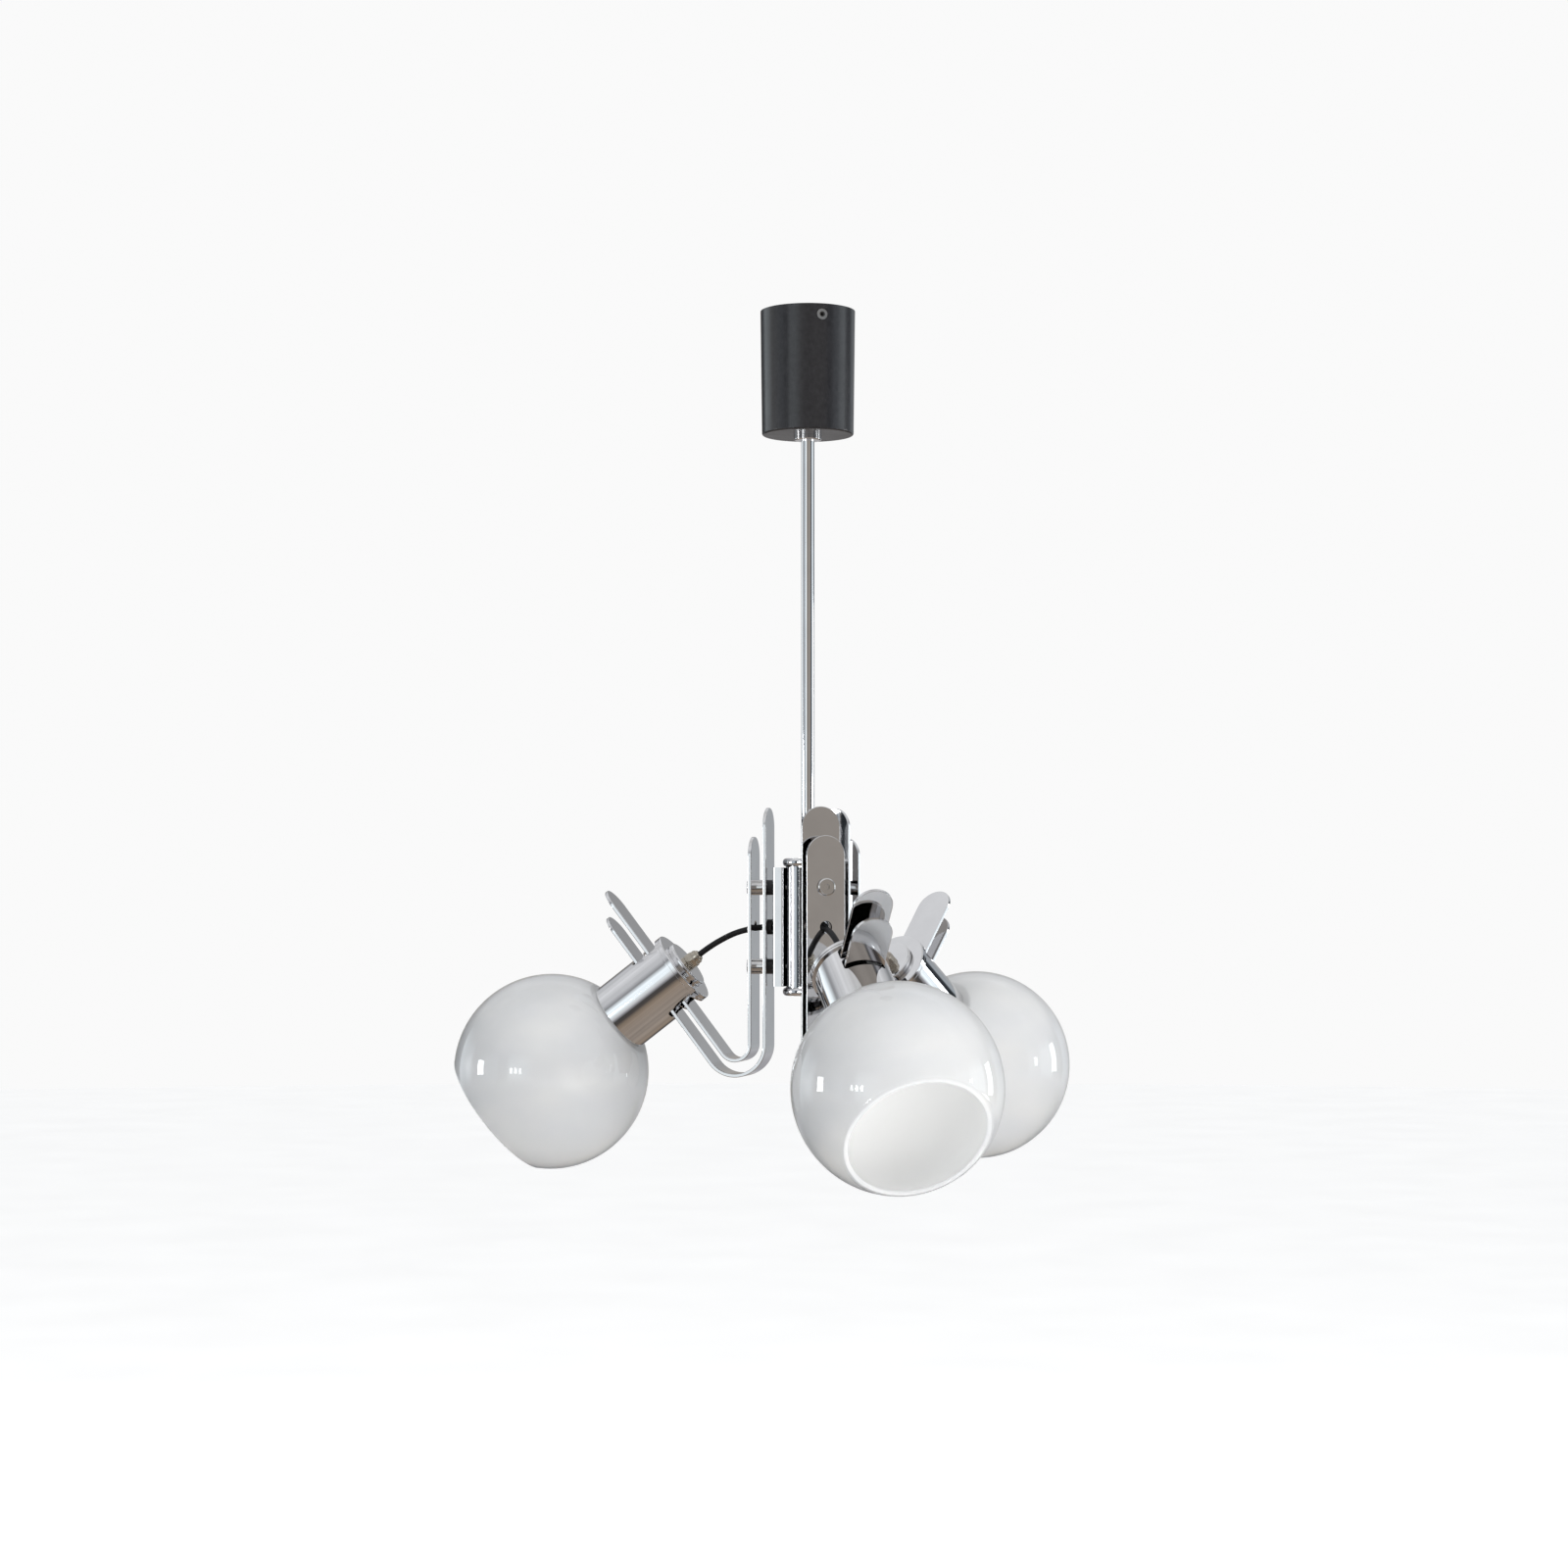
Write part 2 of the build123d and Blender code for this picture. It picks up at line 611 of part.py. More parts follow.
def nipple_spacer(low, high):
    return tube(nipple_spacer_diameter / 2, nipple_diameter / 2 + hole_clear, low, high)


keep("holder_nipples", for_each_arm(cup_frame * nipple()))
lid_spacers = for_each_arm(cup_frame * nipple_spacer(cup_back, inner_strip_back))
strip_gap_spacers = for_each_arm(cup_frame * nipple_spacer(inner_strip_front, outer_strip_back))
keep("nipple_spacers", lid_spacers + strip_gap_spacers)


# ---------------------------------------------------------------- lampholder, globe ring, lamp and globe
def lampholder():
    socket_floor = outer_strip_front + holder_base
    below = outer_strip_front - overrun
    body = rod(holder_diameter / 2, outer_strip_front, holder_front)
    body = fillet(body.edges().group_by(Axis.Z)[0], holder_edge_radius)
    body -= rod(holder_diameter / 2 - holder_wall, socket_floor, holder_front + overrun)
    body -= rod(nipple_diameter / 2 + fit_clear, below, nipple_front)
    body -= rod(cord_diameter / 2 + hole_clear, below, socket_floor + overrun)
    sleeve_bore = lamp_cap_diameter / 2 + hole_clear
    return body + tube(sleeve_bore + holder_wall, sleeve_bore, socket_floor, socket_floor + holder_sleeve)


def globe_ring():
    low = globe_wall
    grip_floor = low + ring_edge_radius
    ring = tube(ring_diameter / 2, holder_diameter / 2 + fit_clear, low, low + ring_height)
    ring = fillet(ring.edges().group_by(Axis.Z)[-1].sort_by(SortBy.RADIUS)[-1:], ring_edge_radius)
    grip = rod(ring_grip_radius, grip_floor, 2 * ring_height)
    grip = Pos(ring_diameter / 2 + ring_grip_outset, 0, 0) * grip
    for turn in range(ring_grip_count):
        ring -= Rot(0, 0, 360 / ring_grip_count * turn) * grip
    return ring


def lamp_cap():
    seat = outer_strip_front + lamp_seat
    contact = rod(lamp_cap_diameter / 4, seat, seat + lamp_contact_height)
    return contact + rod(lamp_cap_diameter / 2, seat + lamp_contact_height, seat + lamp_cap_length)


def lamp_glass():
    low = outer_strip_front + lamp_seat + lamp_cap_length
    high = outer_strip_front + lamp_seat + lamp_length
    radius = min(lamp_diameter / 2, holder_diameter / 2 - holder_wall - hole_clear)
    body = rod(radius, low, high - radius) + Pos(0, 0, high - radius) * Sphere(radius)
    return fillet(body.edges().group_by(Axis.Z)[0], lamp_neck_radius)


def globe():
    """Blown globe, drawn about its centre with the mouth upwards and a flat where the cup seats."""
    big = 2 * globe_diameter
    outside = Sphere(globe_radius) - Pos(0, 0, -globe_seat - big / 2) * Box(big, big, big)
    outside -= Pos(0, 0, mouth_plane + big / 2) * Box(big, big, big)
    outside = fillet(outside.edges().group_by(Axis.Z)[0], globe_shoulder_radius)
    inner_flat = globe_seat - globe_wall
    inside = Sphere(globe_radius - globe_wall) - Pos(0, 0, -inner_flat - big / 2) * Box(big, big, big)
    inside = fillet(inside.edges().group_by(Axis.Z)[0], globe_shoulder_radius - globe_wall)
    body = outside - inside
    body = fillet(body.edges().group_by(Axis.Z)[-1], globe_lip_radius)
    return body - rod(neck_hole_radius, -globe_radius, 0)


# ---------------------------------------------------------------- lamp cords
def on_cup_axis(station):
    return rim_r + axis_r * station, rim_z + axis_z * station


# Distance from the hub axis and height of each point, from the lampholder to the junction block
cord_points = [on_cup_axis(nipple_front - cord_in_nipple),
               on_cup_axis(gland_end - cord_straight_past_gland),
               (cord_sag_radius, hub_middle - cord_sag_drop),
               (cord_level_radius, hub_middle),
               (cord_end, hub_middle)]


def lamp_cord():
    corners = [Vector(r, 0, z) for r, z in cord_points]
    runs = [b - a for a, b in zip(corners, corners[1:])]
    radii = []
    for before, after in zip(runs, runs[1:]):
        half_turn = radians(before.get_angle(after) / 2)
        radii.append(cord_bend_share * min(before.length, after.length) / tan(half_turn))
    line = FilletPolyline(*corners, radius=radii)
    print("cord length", round(line.length, 1), "bend radii", [round(radius, 1) for radius in radii])
    body = sweep(Plane(origin=line @ 0, z_dir=line % 0) * Circle(cord_diameter / 2), path=line)
    print("volume", round(body.volume, 1), "of", round(pi * cord_diameter**2 / 4 * line.length, 1))
    return body


globe_frame = cup_frame.offset(globe_seat)
arm_pieces = {
    "outer_strip": outer_strip,
    "inner_strip": inner_strip,
    "hub_channel": channel,
    "cup": cup_frame * lamp_cup(),
    "cup_lid": cup_frame * cup_lid(),
    "cord_gland": cup_frame * gland(),
    "lampholder": cup_frame * lampholder(),
    "globe_ring": cup_frame * globe_ring(),
    "lamp_cap": cup_frame * lamp_cap(),
    "lamp_glass": cup_frame * lamp_glass(),
    "globe": globe_frame * globe(),
    "cord": lamp_cord(),
}
for number, azimuth in enumerate(arm_azimuths, start=1):
    for piece, shape in arm_pieces.items():
        keep(f"{piece}_{number}", on_arm(shape, azimuth))

# ---------------------------------------------------------------- files
os.makedirs("parts", exist_ok=True)
for name, shape in nodes.items():
    export_step(shape, f"parts/{name}.step")
print(len(nodes), "nodes")
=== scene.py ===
import json
import math

import bmesh
import bpy
from mathutils import Matrix, Vector


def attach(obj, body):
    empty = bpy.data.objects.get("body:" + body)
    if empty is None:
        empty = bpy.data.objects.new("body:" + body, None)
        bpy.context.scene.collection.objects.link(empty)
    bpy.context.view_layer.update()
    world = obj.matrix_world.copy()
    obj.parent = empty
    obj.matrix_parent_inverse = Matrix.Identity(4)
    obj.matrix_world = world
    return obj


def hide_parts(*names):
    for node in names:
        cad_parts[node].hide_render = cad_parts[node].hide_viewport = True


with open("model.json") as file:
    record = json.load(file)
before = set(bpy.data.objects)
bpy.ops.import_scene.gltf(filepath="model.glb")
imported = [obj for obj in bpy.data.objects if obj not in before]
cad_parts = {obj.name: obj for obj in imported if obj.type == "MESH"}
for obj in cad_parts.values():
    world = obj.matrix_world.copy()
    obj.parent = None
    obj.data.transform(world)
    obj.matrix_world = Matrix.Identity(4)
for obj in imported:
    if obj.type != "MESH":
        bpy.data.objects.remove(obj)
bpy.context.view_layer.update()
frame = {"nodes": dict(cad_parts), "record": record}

# ---------------------------------------------------------------- camera
# Fitted to the photograph. The stem is on the Z axis and arm 1 points along -Y.
HUB_AXIS_TO_CAMERA = 2.393
CAMERA_HEIGHT = -0.459
CAMERA_TURN = math.radians(18.0)
AIM_LEFT = 0.0182
AIM_HEIGHT = -0.362
LENS_MM = 72.3
SENSOR_MM = 36.0

camera_data = bpy.data.cameras.new("camera")
camera_data.lens = LENS_MM
camera_data.sensor_width = SENSOR_MM
camera = bpy.data.objects.new("camera", camera_data)
bpy.context.scene.collection.objects.link(camera)
towards = Vector((math.sin(CAMERA_TURN), math.cos(CAMERA_TURN), 0.0))
rightwards = Vector((towards.y, -towards.x, 0.0))
camera.location = -towards * HUB_AXIS_TO_CAMERA + Vector((0, 0, CAMERA_HEIGHT))
aim = -rightwards * AIM_LEFT + Vector((0, 0, AIM_HEIGHT))
camera.rotation_euler = (aim - camera.location).to_track_quat("-Z", "Y").to_euler()
bpy.context.scene.camera = camera


# ---------------------------------------------------------------- material helpers
def new_material(name, **settings):
    """A material with one Principled shader, whose plain sockets take the given settings."""
    material = bpy.data.materials.new(name)
    material.use_nodes = True
    shader = material.node_tree.nodes["Principled BSDF"]
    for socket, value in settings.items():
        shader.inputs[socket.replace("_", " ")].default_value = value
    return material, material.node_tree, shader


def place(tree, stretch):
    """Object coordinates, which are metres in the row's frame, with each axis scaled."""
    coordinates = tree.nodes.new("ShaderNodeTexCoord")
    mapping = tree.nodes.new("ShaderNodeMapping")
    mapping.inputs["Scale"].default_value = stretch
    tree.links.new(coordinates.outputs["Object"], mapping.inputs["Vector"])
    return mapping.outputs["Vector"]


def noise(tree, scale, detail, roughness=0.55, stretch=(1, 1, 1), vector=None):
    """Noise with its scale in features per metre, on the object unless a vector is given."""
    node = tree.nodes.new("ShaderNodeTexNoise")
    node.inputs["Scale"].default_value = scale
    node.inputs["Detail"].default_value = detail
    node.inputs["Roughness"].default_value = roughness
    tree.links.new(vector or place(tree, stretch), node.inputs["Vector"])
    return node.outputs["Fac"]


# Nearly all of a noise texture's values lie between these two.
NOISE_LOW = 0.3
NOISE_HIGH = 0.7


def remap(tree, value, low, high, from_low=NOISE_LOW, from_high=NOISE_HIGH):
    """Stretches a value's range to lie between low and high."""
    node = tree.nodes.new("ShaderNodeMapRange")
    node.inputs["From Min"].default_value = from_low
    node.inputs["From Max"].default_value = from_high
    node.inputs["To Min"].default_value = low
    node.inputs["To Max"].default_value = high
    tree.links.new(value, node.inputs["Value"])
    return node.outputs["Result"]


def ramp_of(tree, value, stops):
    """Colour read off a row of (position, colour) stops."""
    ramp = tree.nodes.new("ShaderNodeValToRGB")
    elements = ramp.color_ramp.elements
    elements[0].position, elements[0].color = stops[0][0], (*stops[0][1], 1)
    elements[1].position, elements[1].color = stops[-1][0], (*stops[-1][1], 1)
    for position, colour in stops[1:-1]:
        elements.new(position).color = (*colour, 1)
    tree.links.new(value, ramp.inputs["Fac"])
    return ramp.outputs["Color"]


def blend_colours(tree, value, dark, light, from_low=NOISE_LOW, from_high=NOISE_HIGH):
    return ramp_of(tree, value, [(from_low, dark), (from_high, light)])


def bump(tree, shader, height, strength, distance, after=None):
    """Bump on the shader's normal, its distance in metres, over an earlier bump if one is given."""
    node = tree.nodes.new("ShaderNodeBump")
    node.inputs["Strength"].default_value = strength
    node.inputs["Distance"].default_value = distance
    tree.links.new(height, node.inputs["Height"])
    if after is not None:
        tree.links.new(after, node.inputs["Normal"])
    tree.links.new(node.outputs["Normal"], shader.inputs["Normal"])
    return node.outputs["Normal"]


def join_shaders(tree, first, second):
    """Puts a mix of two shaders on the surface and gives the socket for the second one's share."""
    both = tree.nodes.new("ShaderNodeMixShader")
    tree.links.new(first, both.inputs[1])
    tree.links.new(second, both.inputs[2])
    tree.links.new(both.outputs["Shader"], tree.nodes["Material Output"].inputs["Surface"])
    return both.inputs["Fac"]


# ---------------------------------------------------------------- materials
def chrome(name, tint, polished, smudged, stretch=(1, 1, 1), grain_strength=0.05):
    """Polished chrome: slow ripples, hairline polishing marks, and smudges that dull it in patches."""
    material, tree, shader = new_material(name, Metallic=1.0)
    smudges = noise(tree, scale=38.0, detail=4.0)
    tree.links.new(remap(tree, smudges, polished, smudged), shader.inputs["Roughness"])
    dulled = [channel * 0.93 for channel in tint]
    colour = blend_colours(tree, smudges, dulled, tint, from_low=0.25, from_high=0.6)
    tree.links.new(colour, shader.inputs["Base Color"])
    ripples = noise(tree, scale=22.0, detail=1.0)
    rippled = bump(tree, shader, ripples, strength=0.12, distance=0.0006)
    grain = noise(tree, scale=900.0, detail=2.0, stretch=stretch)
    bump(tree, shader, grain, grain_strength, distance=0.00004, after=rippled)
    return material


def plated_steel(name, tint, polished, cloudy, stretch):
    """Zinc or nickel plate: cloudy colour, fine turning lines and a soft sheen."""
    material, tree, shader = new_material(name, Metallic=1.0)
    clouds = noise(tree, scale=120.0, detail=5.0)
    dark = [channel * 0.72 for channel in tint]
    tree.links.new(blend_colours(tree, clouds, dark, tint), shader.inputs["Base Color"])
    tree.links.new(remap(tree, clouds, cloudy, polished), shader.inputs["Roughness"])
    lines = noise(tree, scale=900.0, detail=2.0, stretch=stretch)
    bump(tree, shader, lines, strength=0.12, distance=0.00002)
    return material


def moulded(name, dark, light, roughness, grain, depth, shine=0.5):
    """Moulded plastic or rubber: slight mottling and the mould's fine texture."""
    material, tree, shader = new_material(name, Specular_IOR_Level=shine)
    mottling = noise(tree, scale=160.0, detail=4.0)
    tree.links.new(blend_colours(tree, mottling, dark, light), shader.inputs["Base Color"])
    texture = noise(tree, scale=grain, detail=2.0)
    dullness = remap(tree, texture, roughness * 0.8, roughness * 1.15)
    tree.links.new(dullness, shader.inputs["Roughness"])
    bump(tree, shader, texture, strength=0.35, distance=depth)
    return material


def satin_enamel():
    """Black stove enamel: orange-peel surface, faint dust, and patches that are a little smoother."""
    material, tree, shader = new_material("satin_black_enamel", Specular_IOR_Level=0.45,
                                          Coat_Weight=0.35, Coat_Roughness=0.16)
    dust = noise(tree, scale=260.0, detail=6.0, roughness=0.7)
    colour = blend_colours(tree, dust, dark=(0.010, 0.010, 0.012), light=(0.021, 0.021, 0.024),
                           from_low=0.35, from_high=0.8)
    tree.links.new(colour, shader.inputs["Base Color"])
    patches = noise(tree, scale=30.0, detail=3.0)
    tree.links.new(remap(tree, patches, low=0.30, high=0.40), shader.inputs["Roughness"])
    peel = noise(tree, scale=420.0, detail=2.0)
    peeled = bump(tree, shader, peel, strength=0.10, distance=0.0002)
    pores = noise(tree, scale=2600.0, detail=1.0)
    bump(tree, shader, pores, strength=0.12, distance=0.00004, after=peeled)
    return material


def opal_core(name, dark, light, share_through, painted_glow):
    """White opal layer of the globe: faintly uneven, it lets a share of the light through, and it can
    glow with painted light, an emission in its own colour though no lamp is lit.
    """
    material, tree, shader = new_material(name, Roughness=0.2, Specular_IOR_Level=0.35,
                                          Emission_Strength=painted_glow)
    flow = noise(tree, scale=14.0, detail=2.0, stretch=(1, 1, 2.2))
    colour = blend_colours(tree, flow, dark, light)
    tree.links.new(colour, shader.inputs["Base Color"])
    # Painted light: the opal's own colour glows at the given strength.
    tree.links.new(colour, shader.inputs["Emission Color"])
    waves = noise(tree, scale=26.0, detail=1.0)
    bump(tree, shader, waves, strength=0.08, distance=0.0006)
    through = tree.nodes.new("ShaderNodeBsdfTranslucent")
    tree.links.new(colour, through.inputs["Color"])
    share = join_shaders(tree, shader.outputs["BSDF"], through.outputs["BSDF"])
    share.default_value = share_through
    return material


def clear_casing():
    """Clear outer layer of the globe: blown, so its surface rolls slightly, and without a shadow."""
    material, tree, shader = new_material("clear_casing_glass", Transmission_Weight=1.0, IOR=1.5)
    haze = noise(tree, scale=55.0, detail=4.0)
    tree.links.new(remap(tree, haze, low=0.0, high=0.035), shader.inputs["Roughness"])
    colour = blend_colours(tree, haze, dark=(0.975, 0.985, 0.98), light=(1.0, 1.0, 1.0))
    tree.links.new(colour, shader.inputs["Base Color"])
    rolls = noise(tree, scale=20.0, detail=1.0)
    bump(tree, shader, rolls, strength=0.10, distance=0.0007)
    clear = tree.nodes.new("ShaderNodeBsdfTransparent")
    ray = tree.nodes.new("ShaderNodeLightPath")
    share = join_shaders(tree, shader.outputs["BSDF"], clear.outputs["BSDF"])
    tree.links.new(ray.outputs["Is Shadow Ray"], share)
    return material


def frosted_lamp():
    """Lamp glass, frosted inside."""
    material, tree, shader = new_material("frosted_lamp_glass", Roughness=0.45,
                                          Subsurface_Weight=0.2)
    frost = noise(tree, scale=1500.0, detail=2.0)
    colour = blend_colours(tree, frost, dark=(0.86, 0.85, 0.82), light=(0.93, 0.93, 0.91))
    tree.links.new(colour, shader.inputs["Base Color"])
    bump(tree, shader, frost, strength=0.2, distance=0.00005)
    return material


CHROME_TINT = (0.80, 0.80, 0.81)
STRIP_TINT = (0.79, 0.79, 0.80)
FASTENER_TINT = (0.74, 0.73, 0.72)
NICKEL_TINT = (0.60, 0.55, 0.47)
ZINC_TINT = (0.60, 0.62, 0.64)
ALONG_THE_STEM = (1, 1, 0.02)
ACROSS_THE_STEM = (1, 1, 6)

looks = {
    "chrome": chrome("chrome_turned", CHROME_TINT, polished=0.025, smudged=0.075),
    "chrome_stem": chrome("chrome_drawn_tube", CHROME_TINT, polished=0.03, smudged=0.09,
                          stretch=ALONG_THE_STEM, grain_strength=0.22),
    "chrome_strip": chrome("chrome_flat_bar", STRIP_TINT, polished=0.02, smudged=0.07),
    "chrome_cup": chrome("chrome_cup", CHROME_TINT, polished=0.02, smudged=0.06),
    "chrome_fastener": chrome("chrome_fastener", FASTENER_TINT, polished=0.08, smudged=0.20,
                              grain_strength=0.2),
    "nickel": plated_steel("nickel_plate", NICKEL_TINT, polished=0.18, cloudy=0.34,
                           stretch=(1, 1, 1)),
    "zinc_plate": plated_steel("zinc_plate", ZINC_TINT, polished=0.28, cloudy=0.45,
                               stretch=ACROSS_THE_STEM),
    "satin_black": satin_enamel(),
    "black_steel": moulded("blackened_steel", dark=(0.010, 0.010, 0.011),
                           light=(0.030, 0.029, 0.028), roughness=0.30, grain=1200.0,
                           depth=0.00005),
    "black_plastic": moulded("black_moulding", dark=(0.012, 0.012, 0.013),
                             light=(0.024, 0.024, 0.026), roughness=0.45, grain=900.0,
                             depth=0.00008),
    "black_rubber": moulded("black_rubber", dark=(0.010, 0.010, 0.010),
                            light=(0.020, 0.020, 0.020), roughness=0.62, grain=1400.0,
                            depth=0.00008),
    "cord_jacket": moulded("cord_jacket", dark=(0.004, 0.004, 0.005),
                           light=(0.009, 0.009, 0.010), roughness=0.5, grain=1800.0,
                           depth=0.00006, shine=0.25),
    "white_plastic": moulded("white_moulding", dark=(0.72, 0.72, 0.68), light=(0.82, 0.82, 0.79),
                             roughness=0.35, grain=800.0, depth=0.00006),
    "wire_insulation": moulded("wire_insulation", dark=(0.22, 0.10, 0.03),
                               light=(0.35, 0.17, 0.05), roughness=0.4, grain=900.0,
                               depth=0.00005),
    "lamp_glass": frosted_lamp(),
    "opal_glass": opal_core("opal_white", dark=(0.735, 0.742, 0.758), light=(0.79, 0.79, 0.79),
                            share_through=0.42, painted_glow=0.0),
}
# Painted light: the inside of each globe is a lighter copy of the opal that also glows a little, so it
# looks lit though no lamp is on.
painted_lit_inner_opal = opal_core("opal_white_inside_painted_lit", dark=(0.955, 0.955, 0.95), light=(0.975, 0.975, 0.97),
                       share_through=0.30, painted_glow=0.14)
casing_material = clear_casing()
slot_of = {part["node"]: part["material_slot"] for part in frame["record"]["subparts"]}
for name, node in frame["nodes"].items():
    node.data.materials.clear()
    node.data.materials.append(looks[slot_of[name]])

# ---------------------------------------------------------------- globes
# Each CAD globe gives way to two turned pieces, an opal core and the clear glass cased over it.
# Their radii are a little under the CAD globe's, which keeps them inside its box.
ARM_AZIMUTHS = [math.radians(-90.0 + 120.0 * number) for number in range(3)]
AXIS_FALL = math.radians(37.5)
RIM_FROM_HUB = 0.14903
RIM_HEIGHT = -0.54099
CAD_GLOBE_RADIUS = 0.075
GLOBE_RADIUS = 0.07487
GLOBE_WALL = 0.0035
CASING_THICKNESS = 0.0011
CORE_DEPTH = CASING_THICKNESS * 0.7
CORE_RADIUS = GLOBE_RADIUS - CORE_DEPTH
CORE_MOUTH_PULL = 0.0012
SHOULDER_RADIUS = 0.0333
SHOULDER_ROUND = 0.0055
NECK_RADIUS = 0.01475
MOUTH_RADIUS = 0.0542
GLOBE_SEAT = math.sqrt(CAD_GLOBE_RADIUS**2 - SHOULDER_RADIUS**2)
LIP_TAPER = 1.35
LIP_BULGE = 0.55

LATHE_STEPS = 160
SHOULDER_STEPS = 8
SPHERE_STEPS = 72
LIP_STEPS = 8
SKIN_POINTS = SHOULDER_STEPS + SPHERE_STEPS + 2
INNER_START = SKIN_POINTS + LIP_STEPS - 1
SHARP_ANGLE = math.radians(40.0)


def arm_frame(azimuth, station):
    """Placement on one arm's cup axis: local Z points along the axis, out of the cup."""
    outwards = Vector((math.cos(azimuth), math.sin(azimuth), 0.0))
    axis = outwards * math.cos(AXIS_FALL) - Vector((0, 0, math.sin(AXIS_FALL)))
    across = Vector((-math.sin(azimuth), math.cos(azimuth), 0.0))
    rim = outwards * RIM_FROM_HUB + Vector((0, 0, RIM_HEIGHT))
    matrix = Matrix((across, axis.cross(across), axis)).transposed().to_4x4()
    matrix.translation = rim + axis * station
    return matrix


def lathe(name, profile, placement, materials):
    """Closed turned solid from a ring of (radius, height) points; inside faces take the last material."""
    points = []
    for step in range(LATHE_STEPS):
        turn = 2 * math.pi * step / LATHE_STEPS
        for radius, height in profile:
            points.append(placement @ Vector((radius * math.cos(turn), radius * math.sin(turn), height)))
    count = len(profile)
    faces = []
    for step in range(LATHE_STEPS):
        here = step * count
        there = (step + 1) % LATHE_STEPS * count
        for index in range(count):
            after = (index + 1) % count
            faces.append((here + index, there + index, there + after, here + after))
    mesh = bpy.data.meshes.new(name)
    mesh.from_pydata(points, [], faces)
    shaper = bmesh.new()
    shaper.from_mesh(mesh)
    bmesh.ops.recalc_face_normals(shaper, faces=shaper.faces)
    shaper.to_mesh(mesh)
    shaper.free()
    mesh.shade_smooth()
    mesh.set_sharp_from_angle(angle=SHARP_ANGLE)
    for material in materials:
        mesh.materials.append(material)
    for face in mesh.polygons:
        if face.index % count >= INNER_START:
            face.material_index = len(materials) - 1
    piece = bpy.data.objects.new(name, mesh)
    bpy.context.scene.collection.objects.link(piece)
    return piece


def arc(centre, radius, start, finish, steps):
    """Points on a circle in the profile plane, from one angle to another, in degrees."""
    angles = [math.radians(start + (finish - start) * step / steps) for step in range(steps + 1)]
    return [(centre[0] + radius * math.cos(a), centre[1] + radius * math.sin(a)) for a in angles]


def globe_skin(radius, shoulder_drop, mouth_pull):
    """Profile from the neck hole over the rounded shoulder and round to the mouth."""
    flat = -GLOBE_SEAT + shoulder_drop
    inner = radius - SHOULDER_ROUND
    round_height = flat + SHOULDER_ROUND
    round_centre = (math.sqrt(inner**2 - round_height**2), round_height)
    meets = math.degrees(math.atan2(round_height, round_centre[0]))
    mouth = math.degrees(math.acos((MOUTH_RADIUS - mouth_pull) / radius))
    skin = [(NECK_RADIUS, flat)] + arc(round_centre, SHOULDER_ROUND, -90.0, meets, SHOULDER_STEPS)
    return skin + arc((0.0, 0.0), radius, meets, mouth, SPHERE_STEPS)[1:]


def globe_profile(outside, inside, outer_drop, inner_drop, mouth_pull):
    """Closed profile between two skins, its lip rounded at the mouth."""
    outer = globe_skin(outside, outer_drop, mouth_pull)
    inner = globe_skin(inside, inner_drop, mouth_pull + (outside - inside) * LIP_TAPER)
    last, first = Vector(outer[-1]), Vector(inner[-1])
    middle, half = (last + first) / 2, (first - last) / 2
    out = Vector((-half.y, half.x))
    if out.y < 0:
        out = -out
    lip = []
    for step in range(1, LIP_STEPS):
        turn = math.pi * step / LIP_STEPS
        point = middle - half * math.cos(turn) + out * LIP_BULGE * math.sin(turn)
        lip.append((point.x, point.y))
    return outer + lip + inner[::-1]


core_profile = globe_profile(CORE_RADIUS, GLOBE_RADIUS - GLOBE_WALL, CORE_DEPTH, GLOBE_WALL,
                             CORE_MOUTH_PULL)
casing_profile = globe_profile(GLOBE_RADIUS, GLOBE_RADIUS - CASING_THICKNESS, 0.0, CASING_THICKNESS,
                               0.0)
for number, azimuth in enumerate(ARM_AZIMUTHS, start=1):
    placement = arm_frame(azimuth, GLOBE_SEAT)
    # Its inside faces take the lighter, glowing copy of the opal, which is painted light.
    core = lathe(f"opal_layer_{number}", core_profile, placement, [looks["opal_glass"], painted_lit_inner_opal])
    casing = lathe(f"clear_layer_{number}", casing_profile, placement, [casing_material])
    for piece in (core, casing):
        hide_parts(f"globe_{number}")
        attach(piece, "fitting")

# ---------------------------------------------------------------- stage and light
FLOOR_HEIGHT = -1.35
FLOOR_RADIUS = 14.0
FLOOR_SIDES = 96
FLOOR_GLOW = 0.47
LIGHTS_AIM = Vector((0, 0, -0.5))
BACKDROP = (0.955, 0.955, 0.955, 1)

# The room that chrome and glass reflect. Walls are placed by azimuth in degrees.
WALL = (0.36, 0.33, 0.30)
SHADE = (0.030, 0.036, 0.042)
WINDOW = (1.25, 1.36, 1.42)
PALE = (0.50, 0.55, 0.60)
WALLS = [
    (-172, PALE), (-168, SHADE), (-158, SHADE), (-154, WINDOW), (-138, WINDOW), (-124, WALL),
    (-62, WALL), (-58, SHADE), (-46, SHADE), (-42, PALE), (-26, PALE), (-22, WINDOW),
    (-4, WINDOW), (0, SHADE), (20, SHADE), (26, PALE), (80, WALL), (100, SHADE), (116, SHADE),
    (120, WINDOW), (144, WINDOW), (150, WALL),
]
# Floor to ceiling, by height of view: 0 is straight down, 0.5 the horizon and 1 straight up.
FLOOR_TO_CEILING = [
    (0.0, (0.36, 0.31, 0.27)), (0.22, (0.33, 0.26, 0.20)), (0.29, (0.085, 0.075, 0.070)),
    (0.35, (0.075, 0.070, 0.068)), (0.41, (0.50, 0.50, 0.53)), (0.47, (0.50, 0.50, 0.52)),
    (0.62, (0.16, 0.16, 0.17)), (0.72, (0.50, 0.51, 0.53)), (0.86, (0.85, 0.86, 0.88)),
    (1.0, (0.60, 0.60, 0.60)),
]
BLACK = (0, 0, 0)
WHITE = (1, 1, 1)
WALL_BAND = [(0.40, BLACK), (0.45, WHITE), (0.60, WHITE), (0.68, BLACK)]

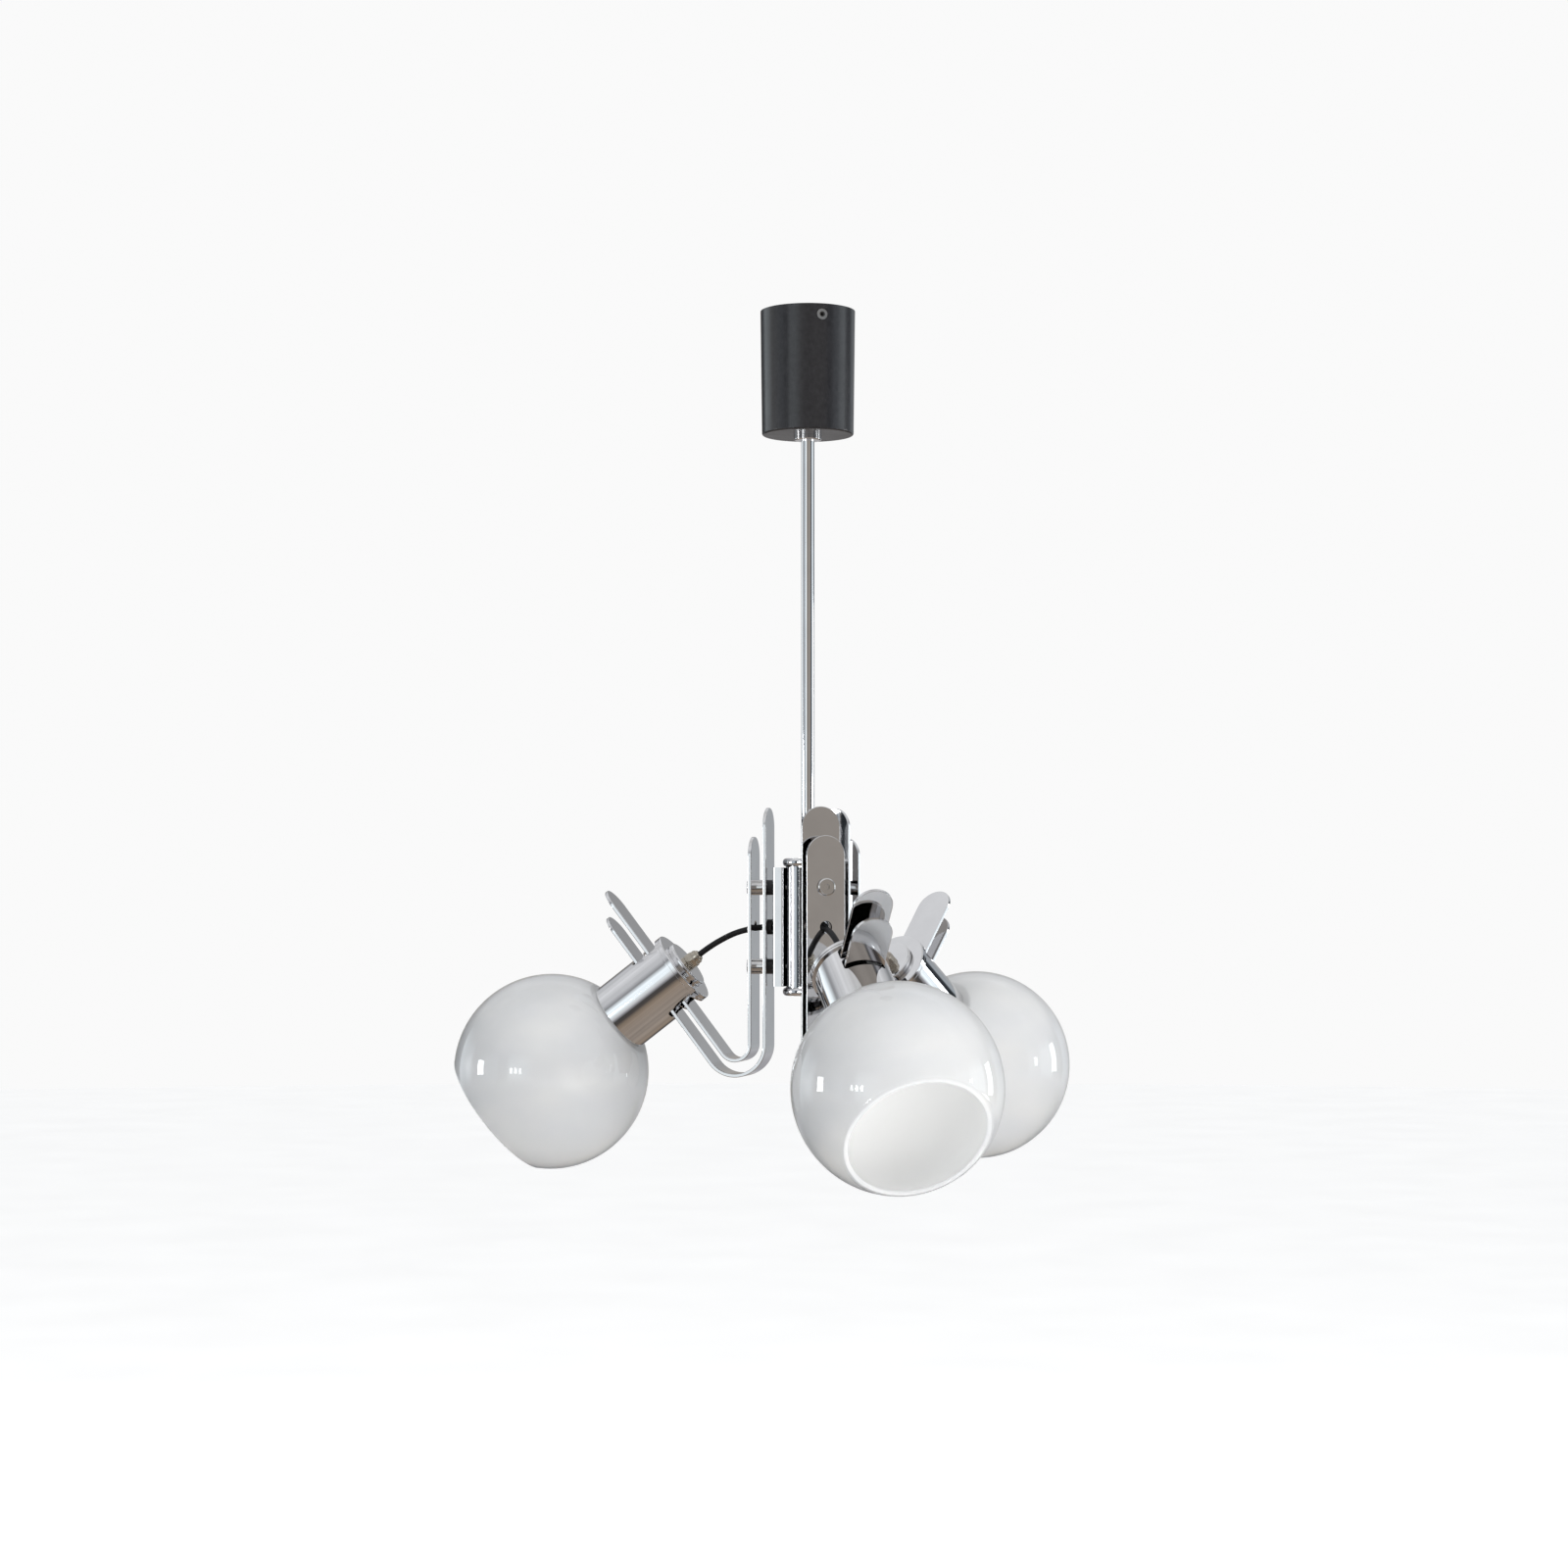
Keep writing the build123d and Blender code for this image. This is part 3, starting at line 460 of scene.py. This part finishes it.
# name, position, size, power in watts, colour
SOFTBOXES = [
    ("overhead", (0.2, -0.4, 2.4), (2.4, 2.4), 36, WHITE),
    ("fill", (1.9, -2.6, 0.4), (1.2, 1.6), 14, (1.0, 0.99, 0.97)),
    ("low front", (0.3, -2.3, -1.15), (1.5, 0.8), 34, (1.0, 0.99, 0.975)),
    ("back", (0.9, 2.8, 0.7), (2.0, 1.2), 16, WHITE),
]
# name, azimuth in degrees, height, distance, size, radiance
WINDOW_COLOUR = (0.97, 0.99, 1.0)
WINDOWS = [
    ("window left", 164.0, -0.45, 2.6, (0.42, 0.50), 11.0),
    ("pane 0", -155.0, -0.48, 2.7, (0.15, 0.26), 9.0),
    ("pane 1", -149.5, -0.48, 2.7, (0.15, 0.26), 9.0),
    ("pane 2", -144.0, -0.48, 2.7, (0.15, 0.26), 9.0),
    ("window right", -29.0, -0.42, 2.6, (0.22, 0.36), 7.0),
    ("window far right", 2.0, -0.40, 2.6, (0.45, 0.85), 4.5),
]


def stage_floor():
    """Pale round floor far below, which brightens the glass from underneath."""
    mesh = bpy.data.meshes.new("floor")
    turns = [2 * math.pi * side / FLOOR_SIDES for side in range(FLOOR_SIDES)]
    rim = [(FLOOR_RADIUS * math.cos(turn), FLOOR_RADIUS * math.sin(turn), FLOOR_HEIGHT)
           for turn in turns]
    mesh.from_pydata(rim, [], [tuple(range(FLOOR_SIDES))])
    floor = bpy.data.objects.new("floor", mesh)
    bpy.context.scene.collection.objects.link(floor)
    material, tree, shader = new_material("pale_floor", Roughness=0.85,
                                          Emission_Strength=FLOOR_GLOW)
    mottling = noise(tree, scale=3.0, detail=2.0)
    pale = blend_colours(tree, mottling, dark=(0.84, 0.84, 0.835), light=(0.87, 0.87, 0.865))
    tree.links.new(pale, shader.inputs["Base Color"])
    tree.links.new(pale, shader.inputs["Emission Color"])
    mesh.materials.append(material)
    floor.visible_glossy = False


def softbox(name, position, size, power, colour, mirrored=False):
    """Rectangular light that faces the fitting; only a mirrored one shows in the chrome and glass."""
    light = bpy.data.lights.new(name, "AREA")
    light.shape = "RECTANGLE"
    light.size, light.size_y = size
    light.energy = power
    light.color = colour
    lamp = bpy.data.objects.new(name, light)
    lamp.location = position
    lamp.rotation_euler = (LIGHTS_AIM - Vector(position)).to_track_quat("-Z", "Y").to_euler()
    bpy.context.scene.collection.objects.link(lamp)
    lamp.visible_camera = False
    lamp.visible_glossy = mirrored


def window(name, azimuth, height, distance, size, radiance):
    """Small bright pane near the horizon that shows as a highlight in glass and chrome."""
    turn = math.radians(azimuth)
    position = (distance * math.cos(turn), distance * math.sin(turn), height)
    power = radiance * math.pi * size[0] * size[1]
    softbox(name, position, size, power, WINDOW_COLOUR, mirrored=True)


def mix_colours(tree, first, second, factor, blend="MIX"):
    """Colour mix whose second colour and factor are each a socket or a plain value."""
    node = tree.nodes.new("ShaderNodeMix")
    node.data_type = "RGBA"
    node.blend_type = blend
    tree.links.new(first, node.inputs["A"])
    for name, value in (("B", second), ("Factor", factor)):
        if isinstance(value, bpy.types.NodeSocket):
            tree.links.new(value, node.inputs[name])
        else:
            node.inputs[name].default_value = value
    return node.outputs["Result"]


def around(degrees):
    """Azimuth as a share of a full turn, from -X anticlockwise."""
    return ((degrees + 180.0) % 360.0) / 360.0


def room_light():
    """A pale room seen only in reflections: walls, windows and dark openings, ceiling and floor."""
    world = bpy.data.worlds.new("studio")
    bpy.context.scene.world = world
    world.use_nodes = True
    tree = world.node_tree
    direction = tree.nodes.new("ShaderNodeTexCoord").outputs["Generated"]
    parts = tree.nodes.new("ShaderNodeSeparateXYZ")
    tree.links.new(direction, parts.inputs["Vector"])
    turn = tree.nodes.new("ShaderNodeMath")
    turn.operation = "ARCTAN2"
    tree.links.new(parts.outputs["Y"], turn.inputs[0])
    tree.links.new(parts.outputs["X"], turn.inputs[1])
    horizon = remap(tree, turn.outputs["Value"], 0.0, 1.0, -math.pi, math.pi)
    rise = remap(tree, parts.outputs["Z"], 0.0, 1.0, -1.0, 1.0)

    placed = [(around(azimuth), colour) for azimuth, colour in WALLS]
    wall_colour = ramp_of(tree, horizon, [(0.0, PALE), *placed, (1.0, PALE)])
    ceiling_colour = ramp_of(tree, rise, FLOOR_TO_CEILING)
    room = mix_colours(tree, ceiling_colour, wall_colour, ramp_of(tree, rise, WALL_BAND))
    patches = noise(tree, scale=2.3, detail=3.0, vector=direction)
    shaded = mix_colours(tree, room, remap(tree, patches, 0.7, 1.2), 1.0, "MULTIPLY")
    seen = tree.nodes.new("ShaderNodeLightPath").outputs["Is Camera Ray"]
    shown = mix_colours(tree, shaded, BACKDROP, seen)
    tree.links.new(shown, tree.nodes["Background"].inputs["Color"])


stage_floor()
room_light()
for name, position, size, power, colour in SOFTBOXES:
    softbox(name, position, size, power, colour)
for pane in WINDOWS:
    window(*pane)
bpy.context.scene.view_settings.view_transform = "Standard"
